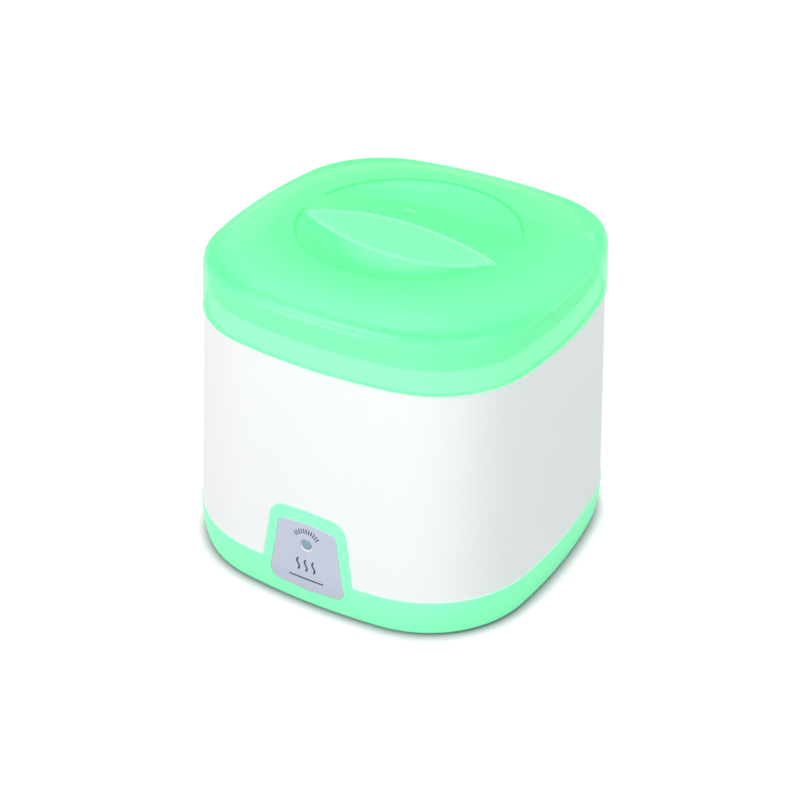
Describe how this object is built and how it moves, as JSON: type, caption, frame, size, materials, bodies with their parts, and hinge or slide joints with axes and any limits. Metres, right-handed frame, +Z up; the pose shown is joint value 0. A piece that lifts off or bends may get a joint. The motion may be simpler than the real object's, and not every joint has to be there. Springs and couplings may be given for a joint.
{
  "type": "yogurt maker",
  "caption": "Rounded-square electric yogurt maker with a white body, mint base and front tab, badge with lamp window, lift-out cup and a mint lid with a recessed grip bar.",
  "frame": {"origin": "centre of the rest face, under the middle of the body", "axes": "+Z up, -Y towards the front with the badge, +X to the right as seen from the front"},
  "size_m": [0.1744, 0.1745, 0.161],
  "materials": {
    "shell_white": "satin",
    "base_mint": "satin",
    "lid_mint": "translucent satin",
    "badge": "satin silver print",
    "window": "frosted",
    "well_white": "satin",
    "cup_milk": "satin",
    "seal": "matt",
    "gasket": "matt",
    "plate_aluminium": "brushed",
    "heater_case": "matt",
    "steel": "zinc plated",
    "felt": "fibrous",
    "thermostat_body": "matt",
    "fuse_body": "smooth",
    "sleeve": "woven glass fibre",
    "foot_rubber": "matt",
    "board": "lacquered",
    "lamp": "clear tinted",
    "resistor": "lacquered",
    "inlet_black": "satin",
    "pin_brass": "plated",
    "wire_brown": "satin",
    "wire_blue": "satin",
    "wire_red": "satin"
  },
  "bodies": {
    "root": {"outer_shell": "shell_white", "base_cover": "base_mint", "inner_well": "well_white", "heating_plate": "plate_aluminium", "plate_gasket": "gasket", "stud_nuts": "steel", "ptc_heater": "heater_case", "heater_strap": "steel", "insulation_pad": "felt", "thermostat": "thermostat_body", "thermostat_bracket": "steel", "thermal_fuse": "fuse_body", "fuse_sleeve": "sleeve", "fuse_clip": "steel", "base_screws": "steel", "rubber_foot_front_left": "foot_rubber", "rubber_foot_front_right": "foot_rubber", "rubber_foot_rear_left": "foot_rubber", "rubber_foot_rear_right": "foot_rubber", "badge_plate": "badge", "lamp_window": "window", "lamp_board": "board", "indicator_lamp": "lamp", "lamp_resistor": "resistor", "lamp_board_screws": "steel", "power_inlet": "inlet_black", "inlet_pins": "pin_brass", "live_wire": "wire_brown", "heater_link_wire": "wire_red", "fuse_link_wire": "wire_red", "neutral_wire": "wire_blue", "lamp_live_wire": "wire_brown", "lamp_neutral_wire": "wire_blue"},
    "cup": {"inner_cup": "cup_milk"},
    "cup_cover": {"cup_lid": "cup_milk", "cup_lid_seal": "seal"},
    "lid": {"outer_lid": "lid_mint"}
  },
  "joints": [
    {"name": "cup_lift", "type": "slide", "parent": "root", "child": "cup", "axis": [0, 0, 1], "range_m": [0, 0.11]},
    {"name": "cup_lid_lift", "type": "slide", "parent": "cup", "child": "cup_cover", "axis": [0, 0, 1], "range_m": [0, 0.06]},
    {"name": "outer_lid_lift", "type": "slide", "parent": "cup_cover", "child": "lid", "axis": [0, 0, 1], "range_m": [0, 0.08]}
  ]
}
